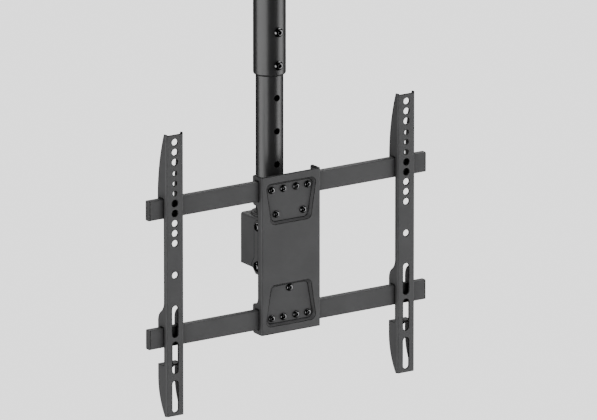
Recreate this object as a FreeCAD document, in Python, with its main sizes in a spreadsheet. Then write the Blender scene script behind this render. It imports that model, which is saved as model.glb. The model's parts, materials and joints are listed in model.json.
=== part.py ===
import FreeCAD, Part
import math
import os
import Sketcher

# TV ceiling mount: a telescopic pole under a ceiling plate carries a hub box that swivels,
# a tilting bracket, a folded face plate, two rails and two arms for the screen.
# Millimetres. X is to the right, Y is to the back, Z is up.
# The origin is the centre of the ceiling plate's upper face, on the pole's axis.

os.makedirs("parts", exist_ok=True)
doc = FreeCAD.newDocument("tv_ceiling_mount")

SIZES = {
    # ceiling plate and pole socket
    "ceiling_plate_width": 180.0,
    "ceiling_plate_depth": 120.0,
    "ceiling_plate_thickness": 5.0,
    "ceiling_plate_corner": 14.0,
    "ceiling_slot_spacing_x": 130.0,
    "ceiling_slot_spacing_y": 80.0,
    "ceiling_slot_length": 24.0,
    "ceiling_slot_radius": 4.5,
    "socket_length": 60.0,
    "socket_wall": 2.5,
    "socket_clearance": 0.1,
    "weld_bead": 3.0,
    "socket_bolt_radius": 4.0,
    "socket_bolt_first": 18.0,
    "socket_bolt_pitch": 24.0,
    # poles
    "outer_pole_radius": 24.0,
    "outer_pole_wall": 1.5,
    "outer_pole_length": 600.0,
    "outer_pole_top_gap": 3.0,
    "inner_pole_radius": 20.3,
    "inner_pole_wall": 1.5,
    "inner_pole_length": 640.0,
    "pole_drop": 208.0,
    "lip_gap": 0.3,
    "height_hole_radius": 4.5,
    "height_hole_first": 25.0,
    "height_hole_pitch": 50.0,
    "height_hole_count": 13,
    "height_screw_hole": 4,
    "bush_clearance": 0.1,
    "bush_length": 30.0,
    # foot and swivel
    "foot_radius": 27.0,
    "foot_thickness": 3.0,
    "foot_bead": 2.0,
    "glide_thickness": 1.0,
    "swivel_bolt_radius": 5.0,
    "swivel_washer_radius": 15.0,
    "swivel_washer_thickness": 2.0,
    "running_clearance": 0.08,
    # hub box
    "hub_width": 60.0,
    "hub_front": 26.75,
    "hub_back": 33.5,
    "hub_height": 76.5,
    "hub_sheet": 3.0,
    "hub_bend": 4.0,
    # tilt pivot
    "pivot_below_hub_top": 10.7,
    "pivot_forward": 20.0,
    "pivot_bolt_radius": 4.0,
    "lock_radius": 60.0,
    "tilt_down": 15.0,
    "tilt_up": 5.0,
    "slot_clearance": 0.4,
    "slot_spare_angle": 1.0,
    # tilt bracket
    "ear_gap": 0.5,
    "bracket_sheet": 3.0,
    "bracket_bend": 4.0,
    "bracket_above_pivot": 34.0,
    "bracket_below_pivot": 96.0,
    "ear_rim": 10.0,
    "ear_lobe": 12.0,
    "bracket_screw_spread": 23.3,
    "bracket_screw_above_pivot": 26.5,
    "bracket_screw_below_pivot": 88.0,
    # face plate
    "face_to_pivot": 38.0,
    "face_above_pivot": 86.0,
    "face_width": 102.0,
    "face_sheet": 2.5,
    "face_bend": 2.8,
    "face_flange": 10.5,
    "face_ear_depth": 24.0,
    "face_ear_corner": 4.0,
    "ear_margin": 7.5,
    "recess_depth": 5.0,
    "recess_height": 62.0,
    "recess_margin": 11.5,
    "recess_wide": 87.0,
    "recess_narrow": 68.0,
    "recess_corner": 8.0,
    "recess_slope": 3.0,
    # rails
    "rail_past_arm": 23.0,
    "rail_height": 30.0,
    "rail_depth": 10.0,
    "rail_wall": 1.5,
    "rail_corner": 2.0,
    "rail_pitch": 194.0,
    "rail_window_gap": 0.4,
    "rail_cap_thickness": 1.5,
    "rail_cap_plug": 8.0,
    "rail_cap_fit": 0.05,
    "rail_screw_inner": 11.0,
    "rail_screw_outer": 31.0,
    # arms
    "arm_spacing": 400.0,
    "arm_width": 30.0,
    "arm_length": 425.0,
    "arm_sheet": 2.0,
    "arm_bend": 2.6,
    "arm_flange_narrow": 7.0,
    "arm_flange_deep": 23.0,
    "arm_flange_top": 6.0,
    "arm_flange_bottom": 5.0,
    "arm_top_margin": 12.5,
    "arm_corner": 2.0,
    "arm_top_notch": 1.5,
    "arm_below_rail": 103.5,
    "hook_lip": 8.0,
    "hook_gap": 0.5,
    "hook_seat_gap": 0.1,
    "brace_rise": 31.0,
    "brace_above_lower_rail": 8.0,
    "tab_below_rail": 27.0,
    "tail_taper": 57.0,
    "arm_hole_radius": 5.0,
    "arm_small_hole_radius": 3.5,
    "arm_hole_pitch": 15.0,
    "arm_small_hole_first": 47.0,
    "arm_middle_hole_first": 92.0,
    "screen_pitch": 200.0,
    "arm_slot_radius": 5.0,
    "slots_below_first_hole": 246.0,
    "slot_upper_bridge": 7.0,
    "slot_lower_bridge": 11.0,
    "slot_end_margin": 5.5,
    "lock_screw_radius": 3.0,
    "lock_screw_gap": 0.3,
    # fasteners
    "m6_shank": 3.0,
    "m6_head": 5.25,
    "m6_head_height": 3.3,
    "m6_hex": 4.0,
    "m8_shank": 4.0,
    "m8_head": 7.0,
    "m8_head_height": 4.4,
    "m8_hex": 5.0,
    "m8_nut_flats": 13.0,
    "m8_nut_height": 6.5,
    "m10_nut_flats": 17.0,
    "m10_nut_height": 8.0,
    "side_head": 6.25,
    "side_head_height": 3.2,
    "lock_washer_radius": 8.0,
    "lock_washer_thickness": 1.0,
    "head_rim": 0.8,
    "head_gap": 0.1,
    "head_slope": 2.0,
    "thread_past_nut": 1.5,
    "height_screw_gap": 0.3,
    "rail_screw_reach": 10.0,
}

sheet = doc.addObject("Spreadsheet::Sheet", "Sizes")
for row, (alias, number) in enumerate(SIZES.items(), start=1):
    sheet.set(f"A{row}", alias)
    sheet.set(f"B{row}", str(number))
    sheet.setAlias(f"B{row}", alias)
doc.recompute()


class Length:
    """A number together with the sheet expression that gives it."""

    def __init__(self, value, text):
        self.value = float(value)
        self.text = text

    def join(self, sign, other, value):
        return Length(value, f"({self.text} {sign} {other.text})")

    def __add__(self, other):
        other = length(other)
        return self.join("+", other, self.value + other.value)

    def __sub__(self, other):
        other = length(other)
        return self.join("-", other, self.value - other.value)

    def __mul__(self, other):
        other = length(other)
        return self.join("*", other, self.value * other.value)

    def __truediv__(self, other):
        other = length(other)
        return self.join("/", other, self.value / other.value)

    def __neg__(self):
        return length(0) - self


def length(amount):
    """Lets a plain number stand beside the sheet's values."""
    return amount if isinstance(amount, Length) else Length(amount, f"{amount}")


def sine(angle):
    return Length(math.sin(math.radians(angle.value)), f"sin({angle.text} * 1 deg)")


def cosine(angle):
    return Length(math.cos(math.radians(angle.value)), f"cos({angle.text} * 1 deg)")


def arc_radius(sag, run):
    """Radius of the arc that leaves a straight edge tangentially and is off it by sag after run."""
    return (sag * sag + run * run) / (sag * 2)


class SheetValues:
    """Gives each cell of the sheet by its alias."""

    def __getattr__(self, alias):
        return Length(sheet.get(alias), f"Sizes.{alias}")


mm = SheetValues()

# Heights, from the ceiling down
socket_top = -mm.ceiling_plate_thickness
outer_top = socket_top - mm.outer_pole_top_gap
outer_end = outer_top - mm.outer_pole_length
foot_top = outer_end - mm.pole_drop
foot_bottom = foot_top - mm.foot_thickness
hub_top = foot_bottom - mm.glide_thickness
pivot_z = hub_top - mm.pivot_below_hub_top
face_top = pivot_z + mm.face_above_pivot
upper_rail_z = face_top - mm.ear_margin - mm.rail_height / 2
lower_rail_z = upper_rail_z - mm.rail_pitch
face_bottom = lower_rail_z - mm.rail_height / 2 - mm.ear_margin
lock_z = pivot_z - mm.lock_radius
arm_bottom = lower_rail_z - mm.rail_height / 2 - mm.arm_below_rail
arm_top = arm_bottom + mm.arm_length
first_hole_z = arm_top - mm.arm_top_margin

# Depths, from the front back
pivot_y = -mm.pivot_forward
face_y = pivot_y - mm.face_to_pivot
rail_front = face_y + mm.recess_depth + mm.face_sheet
rail_back = rail_front + mm.rail_depth
rail_middle = rail_front + mm.rail_depth / 2
arm_y = rail_front - mm.hook_gap - mm.arm_flange_narrow

# Half the rails' length
rail_end = (mm.arm_spacing + mm.arm_width) / 2 + mm.rail_past_arm

NODES = []


def bind(owner, **amounts):
    """Ties properties to the sheet; a double underscore stands for a dot in the path."""
    for path, amount in amounts.items():
        owner.setExpression(path.replace("__", "."), length(amount).text)


def place(thing, x=0, y=0, z=0):
    bind(thing, Placement__Base__x=x, Placement__Base__y=y, Placement__Base__z=z)
    return thing


def node(thing, label):
    """Marks an object as a sub-part that is written under its label."""
    thing.Label = label
    NODES.append(thing)
    return thing


def new_body(name):
    return doc.addObject("PartDesign::Body", name)


def new_sketch(body, plane, offset=0):
    """Adds a sketch on one of the body's origin planes, moved along that plane's normal."""
    sketch = body.newObject("Sketcher::SketchObject", f"{body.Name}_sketch")
    support = [item for item in body.Origin.OriginFeatures if item.Role == f"{plane}_Plane"][0]
    sketch.AttachmentSupport = (support, [""])
    sketch.MapMode = "FlatFace"
    bind(sketch, AttachmentOffset__Base__z=offset)
    return sketch


def limit(sketch, kind, amount, *points):
    index = sketch.addConstraint(Sketcher.Constraint(kind, *points, amount.value))
    sketch.setExpression(f"Constraints[{index}]", amount.text)


def pin(sketch, edge, end, x, y):
    limit(sketch, "DistanceX", length(x), -1, 1, edge, end)
    limit(sketch, "DistanceY", length(y), -1, 1, edge, end)


def hole(sketch, x, y, radius):
    centre = FreeCAD.Vector(length(x).value, length(y).value, 0)
    edge = sketch.addGeometry(Part.Circle(centre, FreeCAD.Vector(0, 0, 1), radius.value), False)
    pin(sketch, edge, 3, x, y)
    limit(sketch, "Radius", radius, edge)


def arc_between(start, end, radius, side):
    """Minor arc from start to end, with its centre to the left of the run when side is 1."""
    middle = (start + end) * 0.5
    run = end - start
    rise = math.sqrt(max(radius * radius - run.Length * run.Length / 4, 0))
    left = FreeCAD.Vector(-run.y, run.x, 0).normalize()
    centre = middle + left * (rise * side)
    first, last = (start, end) if side > 0 else (end, start)
    angles = [math.atan2(point.y - centre.y, point.x - centre.x) for point in (first, last)]
    circle = Part.Circle(centre, FreeCAD.Vector(0, 0, 1), radius)
    return Part.ArcOfCircle(circle, *angles)


HALF_CIRCLE = None


def centre_half_circle(sketch, edge, before, corner):
    """Keeps a half circle's centre midway between its ends."""
    across = length(corner[0]) - before[0]
    rise = length(corner[1]) - before[1]
    if abs(rise.value) > abs(across.value):
        limit(sketch, "DistanceX", (length(before[0]) + corner[0]) / 2, -1, 1, edge, 3)
    else:
        limit(sketch, "DistanceY", (length(before[1]) + corner[1]) / 2, -1, 1, edge, 3)


def outline(sketch, corners):
    """Closed loop of edges. A corner is (x, y), or (x, y, radius, side) where an arc ends."""
    points = [FreeCAD.Vector(length(c[0]).value, length(c[1]).value, 0) for c in corners]
    for place_in_loop, corner in enumerate(corners):
        start = points[place_in_loop - 1]
        end = points[place_in_loop]
        if len(corner) == 2:
            edge = sketch.addGeometry(Part.LineSegment(start, end), False)
            last = 2
        else:
            radius, side = corner[2], corner[3]
            reach = (end - start).Length / 2 if radius is HALF_CIRCLE else radius.value
            edge = sketch.addGeometry(arc_between(start, end, reach, side), False)
            last = 2 if side > 0 else 1
            if radius is HALF_CIRCLE:
                centre_half_circle(sketch, edge, corners[place_in_loop - 1], corner)
            else:
                limit(sketch, "Radius", radius, edge)
        pin(sketch, edge, last, corner[0], corner[1])
        if place_in_loop:
            first = 1 if last == 2 else 2
            sketch.addConstraint(Sketcher.Constraint("Coincident", before[0], before[1], edge, first))
        else:
            opening = (edge, 1 if last == 2 else 2)
        before = (edge, last)
    sketch.addConstraint(Sketcher.Constraint("Coincident", before[0], before[1], *opening))


def rounded_box(sketch, left, low, right, high, radius):
    """Rectangle with four round corners, drawn anticlockwise."""
    outline(
        sketch,
        [
            (right - radius, low),
            (right, low + radius, radius, 1),
            (right, high - radius),
            (right - radius, high, radius, 1),
            (left + radius, high),
            (left, high - radius, radius, 1),
            (left, low + radius),
            (left + radius, low, radius, 1),
        ],
    )


def box(sketch, left, low, right, high):
    outline(sketch, [(left, low), (right, low), (right, high), (left, high)])


def upright_slot(sketch, x, low, high, radius):
    """Slot with round ends, from low to high over all."""
    outline(
        sketch,
        [
            (x + radius, high - radius),
            (x - radius, high - radius, HALF_CIRCLE, 1),
            (x - radius, low + radius),
            (x + radius, low + radius, HALF_CIRCLE, 1),
        ],
    )


def flat_slot(sketch, x, y, half_length, radius):
    """Slot with round ends that lies along the sketch's X."""
    reach = half_length - radius
    outline(
        sketch,
        [
            (x + reach, y - radius),
            (x + reach, y + radius, HALF_CIRCLE, 1),
            (x - reach, y + radius),
            (x - reach, y - radius, HALF_CIRCLE, 1),
        ],
    )


def pad(body, sketch, amount, centred=False, backwards=False):
    feature = body.newObject("PartDesign::Pad", f"{body.Name}_pad")
    feature.Profile = sketch
    bind(feature, Length=amount)
    feature.Midplane = centred
    feature.Reversed = backwards
    return feature


def pocket(body, sketch, amount=None, centred=False, backwards=False):
    """Cuts the sketch by a depth, or right through when no depth is given."""
    feature = body.newObject("PartDesign::Pocket", f"{body.Name}_pocket")
    feature.Profile = sketch
    if amount is None:
        feature.Type = "ThroughAll"
    else:
        bind(feature, Length=amount)
    feature.Midplane = centred
    feature.Reversed = backwards
    return feature


def loft(body, kind, first, second):
    feature = body.newObject(f"PartDesign::{kind}Loft", f"{body.Name}_loft")
    feature.Profile = first
    feature.Sections = [second]
    feature.Ruled = True
    return feature


def turned(body, corners):
    """Solid of revolution about Z, from corners given as (radius, height)."""
    sketch = new_sketch(body, "XZ")
    outline(sketch, corners)
    feature = body.newObject("PartDesign::Revolution", f"{body.Name}_turn")
    feature.Profile = sketch
    feature.ReferenceAxis = (sketch, ["V_Axis"])
    feature.Angle = 360
    return feature


def tube(label, inner, outer, low, high):
    """Plain round ring or tube about Z."""
    body = new_body(label)
    turned(body, [(inner, low), (outer, low), (outer, high), (inner, high)])
    return node(body, label)


def hexagon(sketch, flats):
    """Hexagon about the sketch's origin, with flats as its width across two opposite sides."""
    corner = flats / math.sqrt(3)
    outline(
        sketch,
        [
            (corner, 0),
            (corner / 2, flats / 2),
            (-corner / 2, flats / 2),
            (-corner, 0),
            (-corner / 2, -flats / 2),
            (corner / 2, -flats / 2),
        ],
    )


def button_screw(name, shank, head, head_height, reach, hex_flats):
    """Button screw with a hexagon socket; the seat under its head is at height 0, the head up."""
    body = new_body(name)
    turned(
        body,
        [
            (0, -reach),
            (shank, -reach),
            (shank, 0),
            (head, 0),
            (head, mm.head_rim),
            (head - mm.head_slope, head_height),
            (0, head_height),
        ],
    )
    socket = new_sketch(body, "XY", head_height)
    hexagon(socket, hex_flats)
    pocket(body, socket, head_height - mm.head_rim)
    return body


def hex_nut(name, bore, flats, height):
    """Plain nut that stands on height 0."""
    body = new_body(name)
    sketch = new_sketch(body, "XY")
    hexagon(sketch, flats)
    hole(sketch, 0, 0, bore)
    pad(body, sketch, height)
    return body


def flat_washer(name, bore, radius, thickness):
    body = new_body(name)
    sketch = new_sketch(body, "XY")
    hole(sketch, 0, 0, radius)
    hole(sketch, 0, 0, bore)
    pad(body, sketch, thickness)
    return body


HEAD_FRONT = FreeCAD.Rotation(FreeCAD.Vector(0, 0, 1), FreeCAD.Vector(0, -1, 0))
HEAD_BACK = FreeCAD.Rotation(FreeCAD.Vector(0, 0, 1), FreeCAD.Vector(0, 1, 0))
HEAD_RIGHT = FreeCAD.Rotation(FreeCAD.Vector(0, 0, 1), FreeCAD.Vector(1, 0, 0))
HEAD_LEFT = FreeCAD.Rotation(FreeCAD.Vector(0, 0, 1), FreeCAD.Vector(-1, 0, 0))
HEAD_UP = FreeCAD.Rotation()
HEAD_DOWN = FreeCAD.Rotation(FreeCAD.Vector(1, 0, 0), 180)


def group(label, master, spots):
    """Sub-part of equal pieces: each spot is (x, y, z, way the head points)."""
    copies = []
    for x, y, z, way in spots:
        copy = doc.addObject("App::Link", f"{label}_copy")
        copy.LinkedObject = master
        copy.Placement = FreeCAD.Placement(FreeCAD.Vector(), way)
        place(copy, x, y, z)
        copies.append(copy)
    compound = doc.addObject("Part::Compound", label)
    compound.Links = copies
    return node(compound, label)


# Ceiling plate: flat steel with four slots for the ceiling's anchors

def make_ceiling_plate():
    body = new_body("ceiling_plate")
    face = new_sketch(body, "XY")
    half_width = mm.ceiling_plate_width / 2
    half_depth = mm.ceiling_plate_depth / 2
    rounded_box(face, -half_width, -half_depth, half_width, half_depth, mm.ceiling_plate_corner)
    for side in (-1, 1):
        for end in (-1, 1):
            flat_slot(
                face,
                mm.ceiling_slot_spacing_x / 2 * side,
                mm.ceiling_slot_spacing_y / 2 * end,
                mm.ceiling_slot_length / 2,
                mm.ceiling_slot_radius,
            )
    pad(body, face, mm.ceiling_plate_thickness, backwards=True)
    node(body, "ceiling_plate")


# Pole socket: a tube under the plate with a weld bead round its root

def cross_bores(body, radius):
    """Two bores right across the pole, one along Y and one along X."""
    first = new_sketch(body, "XZ")
    hole(first, 0, socket_top - mm.socket_bolt_first, radius)
    pocket(body, first, mm.outer_pole_radius * 4, centred=True)
    second = new_sketch(body, "YZ")
    hole(second, 0, socket_top - mm.socket_bolt_first - mm.socket_bolt_pitch, radius)
    pocket(body, second, mm.outer_pole_radius * 4, centred=True)


socket_bore = mm.outer_pole_radius + mm.socket_clearance
socket_outer = socket_bore + mm.socket_wall


def make_pole_socket():
    body = new_body("pole_socket")
    turned(
        body,
        [
            (socket_bore, socket_top - mm.socket_length),
            (socket_outer, socket_top - mm.socket_length),
            (socket_outer, socket_top - mm.weld_bead),
            (socket_outer + mm.weld_bead, socket_top),
            (socket_bore, socket_top),
        ],
    )
    cross_bores(body, mm.socket_bolt_radius)
    node(body, "pole_socket")


def make_socket_fasteners():
    """Cross bolts that hold the outer pole in its socket, with their nuts."""
    across = socket_outer * 2 + mm.m8_nut_height + mm.thread_past_nut
    bolt = button_screw(
        "socket_bolt", mm.m8_shank, mm.m8_head, mm.m8_head_height, across, mm.m8_hex
    )
    first = socket_top - mm.socket_bolt_first
    second = first - mm.socket_bolt_pitch
    group(
        "socket_bolts",
        bolt,
        [(0, -socket_outer, first, HEAD_FRONT), (-socket_outer, 0, second, HEAD_LEFT)],
    )
    nut = hex_nut("socket_nut", mm.m8_shank, mm.m8_nut_flats, mm.m8_nut_height)
    group(
        "socket_nuts",
        nut,
        [(0, socket_outer, first, HEAD_BACK), (socket_outer, 0, second, HEAD_RIGHT)],
    )


# Outer pole: its lower end is rolled in until it almost meets the inner pole

height_screw_z = [
    foot_top + mm.height_hole_first + mm.height_hole_pitch * (mm.height_screw_hole + step)
    for step in (0, 1)
]


def make_outer_pole():
    body = new_body("outer_pole")
    mouth = mm.inner_pole_radius + mm.lip_gap
    roll = mm.outer_pole_radius - mouth
    inside = mm.outer_pole_radius - mm.outer_pole_wall
    turned(
        body,
        [
            (mouth, outer_end),
            (mm.outer_pole_radius, outer_end + roll, roll, 1),
            (mm.outer_pole_radius, outer_top),
            (inside, outer_top),
            (inside, outer_end + roll),
            (mouth, outer_end + mm.outer_pole_wall, roll - mm.outer_pole_wall, -1),
        ],
    )
    cross_bores(body, mm.socket_bolt_radius)
    front = new_sketch(body, "XZ")
    for z in height_screw_z:
        hole(front, 0, z, mm.m8_shank)
    pocket(body, front, mm.outer_pole_radius * 2, backwards=True)
    node(body, "outer_pole")


def make_height_screws():
    """Button screws through the outer pole, drawn clear of the inner pole so that it can slide."""
    reach = mm.outer_pole_radius - mm.inner_pole_radius - mm.height_screw_gap
    screw = button_screw(
        "height_screw", mm.m8_shank, mm.m8_head, mm.m8_head_height, reach, mm.m8_hex
    )
    group("height_screws", screw, [(0, -mm.outer_pole_radius, z, HEAD_FRONT) for z in height_screw_z])


def make_pole_guides():
    """Plastic bush fixed in the outer pole, and a ring on the inner pole's upper end."""
    bore = mm.outer_pole_radius - mm.outer_pole_wall
    middle = (height_screw_z[0] + height_screw_z[1]) / 2
    tube(
        "pole_bush",
        mm.inner_pole_radius + mm.bush_clearance,
        bore,
        middle - mm.bush_length / 2,
        middle + mm.bush_length / 2,
    )
    top = foot_top + mm.inner_pole_length
    body = new_body("guide_ring")
    lid = mm.inner_pole_wall
    turned(
        body,
        [
            (mm.inner_pole_radius, top - mm.bush_length / 2),
            (bore - mm.bush_clearance, top - mm.bush_length / 2),
            (bore - mm.bush_clearance, top + lid),
            (mm.inner_pole_radius - mm.inner_pole_wall, top + lid),
            (mm.inner_pole_radius - mm.inner_pole_wall, top),
            (mm.inner_pole_radius, top),
        ],
    )
    node(body, "guide_ring")


# Inner pole: tube with a row of height holes down its front

def make_inner_pole():
    body = new_body("inner_pole")
    inside = mm.inner_pole_radius - mm.inner_pole_wall
    top = foot_top + mm.inner_pole_length
    turned(
        body,
        [
            (inside, foot_top),
            (mm.inner_pole_radius, foot_top),
            (mm.inner_pole_radius, top),
            (inside, top),
        ],
    )
    front = new_sketch(body, "XZ")
    hole(front, 0, foot_top + mm.height_hole_first, mm.height_hole_radius)
    cut = pocket(body, front, mm.inner_pole_radius * 2, backwards=True)
    doc.recompute()
    row = body.newObject("PartDesign::LinearPattern", "height_hole_row")
    row.Originals = [cut]
    row.Direction = (front, ["V_Axis"])
    bind(
        row,
        Length=mm.height_hole_pitch * (mm.height_hole_count - 1),
        Occurrences=mm.height_hole_count,
    )
    body.Tip = row
    node(body, "inner_pole")


# Pole foot and swivel: the disc is welded to the inner pole and turns on the hub box

def make_swivel():
    foot = new_body("pole_foot")
    bead = mm.foot_bead
    turned(
        foot,
        [
            (mm.swivel_bolt_radius, foot_bottom),
            (mm.foot_radius, foot_bottom),
            (mm.foot_radius, foot_top),
            (mm.inner_pole_radius + bead, foot_top),
            (mm.inner_pole_radius, foot_top + bead),
            (mm.inner_pole_radius, foot_top),
            (mm.swivel_bolt_radius, foot_top),
        ],
    )
    node(foot, "pole_foot")
    tube("swivel_glide", mm.swivel_bolt_radius, mm.foot_radius, hub_top, foot_bottom)
    plate_low = hub_top - mm.hub_sheet
    washer_low = plate_low - mm.swivel_washer_thickness
    tube("swivel_washer", mm.swivel_bolt_radius, mm.swivel_washer_radius, washer_low, plate_low)
    reach = foot_top - washer_low + mm.m10_nut_height + mm.thread_past_nut
    bolt = button_screw(
        "swivel_bolt_piece",
        mm.swivel_bolt_radius,
        mm.swivel_bolt_radius * 1.8,
        mm.swivel_bolt_radius * 1.1,
        reach,
        mm.swivel_bolt_radius * 1.2,
    )
    group("swivel_bolt", bolt, [(0, 0, washer_low, HEAD_DOWN)])
    nut = hex_nut("swivel_nut_piece", mm.swivel_bolt_radius, mm.m10_nut_flats, mm.m10_nut_height)
    group("swivel_nut", nut, [(0, 0, foot_top, HEAD_UP)])


# Hub bracket: folded box under the foot, open at the front and below

def make_hub_bracket():
    body = new_body("hub_bracket")
    half_width = mm.hub_width / 2
    hub_low = hub_top - mm.hub_height
    plan = new_sketch(body, "XY", hub_low)
    outline(
        plan,
        [
            (-half_width, -mm.hub_front),
            (half_width, -mm.hub_front),
            (half_width, mm.hub_back - mm.hub_bend),
            (half_width - mm.hub_bend, mm.hub_back, mm.hub_bend, 1),
            (-half_width + mm.hub_bend, mm.hub_back),
            (-half_width, mm.hub_back - mm.hub_bend, mm.hub_bend, 1),
        ],
    )
    block = pad(body, plan, mm.hub_height)
    doc.recompute()
    fillet = body.newObject("PartDesign::Fillet", "hub_top_bends")
    fillet.Base = (block, upper_edges(block.Shape, hub_top.value, -mm.hub_front.value))
    bind(fillet, Radius=mm.hub_bend)
    inner_bend = mm.hub_bend - mm.hub_sheet
    inside = new_sketch(body, "XY", hub_low)
    wall_x = half_width - mm.hub_sheet
    wall_y = mm.hub_back - mm.hub_sheet
    outline(
        inside,
        [
            (-wall_x, -mm.hub_front - mm.hub_sheet),
            (wall_x, -mm.hub_front - mm.hub_sheet),
            (wall_x, wall_y - inner_bend),
            (wall_x - inner_bend, wall_y, inner_bend, 1),
            (-wall_x + inner_bend, wall_y),
            (-wall_x, wall_y - inner_bend, inner_bend, 1),
        ],
    )
    pocket(body, inside, mm.hub_height - mm.hub_sheet, backwards=True)
    centre = new_sketch(body, "XY", hub_top)
    hole(centre, 0, 0, mm.swivel_bolt_radius + mm.running_clearance)
    pocket(body, centre, mm.hub_sheet * 2)
    side = new_sketch(body, "YZ")
    hole(side, pivot_y, pivot_z, mm.pivot_bolt_radius)
    hole(side, pivot_y, lock_z, mm.pivot_bolt_radius)
    pocket(body, side, mm.hub_width * 2, centred=True)
    node(body, "hub_bracket")


def upper_edges(shape, height, front):
    """Names of the edges at the given height that don't run along the front."""
    names = []
    for number, edge in enumerate(shape.Edges, start=1):
        ends = [vertex.Point for vertex in edge.Vertexes]
        flat = all(abs(point.z - height) < 1e-3 for point in ends)
        along_front = all(abs(point.y - front) < 1e-3 for point in ends)
        if flat and not along_front:
            names.append(f"Edge{number}")
    return names


# Side bolts: the upper pair is the tilt pivot, the lower pair clamps the tilt in its arc slots

def make_side_fasteners():
    hub_side = mm.hub_width / 2
    ear_side = hub_side + mm.ear_gap + mm.bracket_sheet
    nut_face = hub_side - mm.hub_sheet
    past = mm.m8_nut_height + mm.thread_past_nut
    pivot_seat = ear_side + mm.head_gap
    lock_seat = pivot_seat + mm.lock_washer_thickness
    for name, seat, z in (("pivot", pivot_seat, pivot_z), ("tilt_lock", lock_seat, lock_z)):
        bolt = button_screw(
            f"{name}_bolt",
            mm.pivot_bolt_radius,
            mm.side_head,
            mm.side_head_height,
            seat - nut_face + past,
            mm.m8_hex,
        )
        group(
            f"{name}_bolts",
            bolt,
            [(seat, pivot_y, z, HEAD_RIGHT), (-seat, pivot_y, z, HEAD_LEFT)],
        )
        nut = hex_nut(f"{name}_nut", mm.pivot_bolt_radius, mm.m8_nut_flats, mm.m8_nut_height)
        group(
            f"{name}_nuts",
            nut,
            [(nut_face, pivot_y, z, HEAD_LEFT), (-nut_face, pivot_y, z, HEAD_RIGHT)],
        )
    washer = flat_washer(
        "tilt_lock_washer",
        mm.pivot_bolt_radius,
        mm.lock_washer_radius,
        mm.lock_washer_thickness,
    )
    group(
        "tilt_lock_washers",
        washer,
        [(pivot_seat, pivot_y, lock_z, HEAD_RIGHT), (-pivot_seat, pivot_y, lock_z, HEAD_LEFT)],
    )
    friction = flat_washer(
        "friction_washer",
        mm.pivot_bolt_radius,
        mm.ear_rim - mm.head_gap,
        mm.ear_gap - mm.head_gap,
    )
    group(
        "friction_washers",
        friction,
        [(hub_side, pivot_y, pivot_z, HEAD_RIGHT), (-hub_side, pivot_y, pivot_z, HEAD_LEFT)],
    )


# Tilt bracket: folded base plate behind the face plate, with two ears beside the hub box

def channel(body, half_width, front, depth, thickness, bend, low, high):
    """Folded sheet of even U section that is open to the back, from low to high."""
    plan = new_sketch(body, "XY", low)
    inner = bend - thickness
    back = front + depth
    wall = half_width - thickness
    outline(
        plan,
        [
            (half_width - bend, front),
            (half_width, front + bend, bend, 1),
            (half_width, back),
            (wall, back),
            (wall, front + bend),
            (wall - inner, front + thickness, inner, -1),
            (-wall + inner, front + thickness),
            (-wall, front + bend, inner, -1),
            (-wall, back),
            (-half_width, back),
            (-half_width, front + bend),
            (-half_width + bend, front, bend, 1),
        ],
    )
    return pad(body, plan, high - low)


def arc_spot(radius, angle):
    """Point below the pivot at a radius, turned towards the back by an angle."""
    return pivot_y + radius * sine(angle), pivot_z - radius * cosine(angle)


def make_tilt_bracket():
    body = new_body("tilt_bracket")
    half_width = mm.hub_width / 2 + mm.ear_gap + mm.bracket_sheet
    high = pivot_z + mm.bracket_above_pivot
    low = pivot_z - mm.bracket_below_pivot
    slot = mm.pivot_bolt_radius + mm.slot_clearance
    back_angle = mm.tilt_up + mm.slot_spare_angle
    front_angle = mm.tilt_down + mm.slot_spare_angle
    lobe_back = pivot_y + mm.lock_radius * sine(back_angle) + mm.ear_lobe - mm.slot_clearance
    deepest = lobe_back + mm.bracket_sheet
    channel(
        body,
        half_width,
        rail_front,
        deepest - rail_front,
        mm.bracket_sheet,
        mm.bracket_bend,
        low,
        high,
    )
    # The pocket leaves the base plate whole and trims both ears to their outline
    base_back = rail_front + mm.bracket_bend
    lobe_low = lock_z - mm.ear_lobe
    lobe_high = lock_z + mm.ear_lobe
    trim = new_sketch(body, "YZ")
    outline(
        trim,
        [
            (base_back, high + mm.bracket_sheet),
            (base_back, high - mm.bracket_bend),
            (pivot_y, pivot_z + mm.ear_rim),
            (pivot_y + mm.ear_rim, pivot_z, mm.ear_rim, -1),
            (pivot_y + mm.ear_rim, lobe_high),
            (lobe_back, lock_z),
            (pivot_y + mm.ear_lobe / 2, lobe_low),
            (pivot_y - mm.ear_lobe, lobe_low),
            (base_back, low + mm.bracket_bend),
            (base_back, low - mm.bracket_sheet),
            (deepest + mm.bracket_sheet, low - mm.bracket_sheet),
            (deepest + mm.bracket_sheet, high + mm.bracket_sheet),
        ],
    )
    pocket(body, trim, half_width * 4, centred=True)
    holes = new_sketch(body, "YZ")
    hole(holes, pivot_y, pivot_z, mm.pivot_bolt_radius + mm.running_clearance)
    far = mm.lock_radius + slot
    near = mm.lock_radius - slot
    outline(
        holes,
        [
            (*arc_spot(far, back_angle), far, 1),
            (*arc_spot(near, back_angle), HALF_CIRCLE, 1),
            (*arc_spot(near, -front_angle), near, -1),
            (*arc_spot(far, -front_angle), HALF_CIRCLE, 1),
        ],
    )
    pocket(body, holes, half_width * 4, centred=True)
    threads = new_sketch(body, "XZ", -rail_front)
    for x, z in bracket_screw_spots():
        hole(threads, x, z, mm.m6_shank)
    pocket(body, threads, mm.bracket_sheet * 2, centred=True)
    node(body, "tilt_bracket")


def bracket_screw_spots():
    upper = pivot_z + mm.bracket_screw_above_pivot
    lower = pivot_z - mm.bracket_screw_below_pivot
    return [(-mm.bracket_screw_spread, upper), (mm.bracket_screw_spread, upper), (0, lower)]


def rail_screw_spots(rail_z):
    offsets = (-mm.rail_screw_outer, -mm.rail_screw_inner, mm.rail_screw_inner, mm.rail_screw_outer)
    return [(x, rail_z) for x in offsets]


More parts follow.
